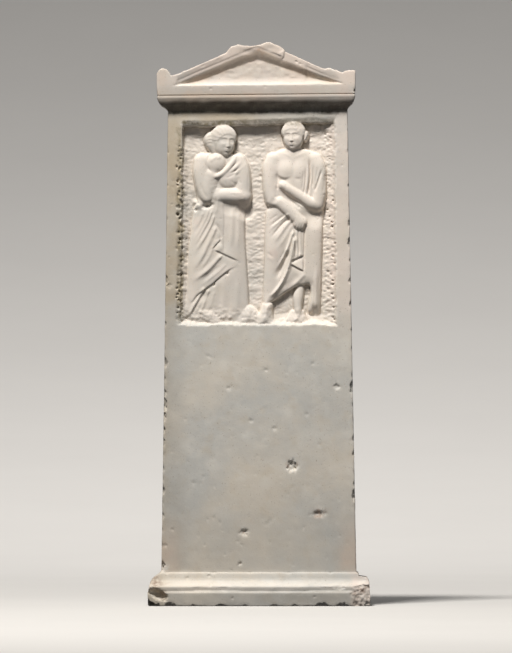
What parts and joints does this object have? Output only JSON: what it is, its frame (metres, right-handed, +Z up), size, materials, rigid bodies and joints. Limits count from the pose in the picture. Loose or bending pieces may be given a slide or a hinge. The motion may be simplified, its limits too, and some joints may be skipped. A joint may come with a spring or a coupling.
{
  "type": "carved stone stele",
  "caption": "Upright marble grave stele with pediment, sunk relief panel of two draped standing figures, plain tapering shaft and moulded foot.",
  "frame": {"origin": "middle of the underside of the foot", "axes": "+X to the viewer's right, -Y the carved front, +Z up"},
  "size_m": [0.286, 0.096, 0.724],
  "materials": {
    "marble": "weathered fine-grained white marble, tooled and worn"
  },
  "bodies": {
    "root": {"stele": "marble"}
  },
  "joints": []
}
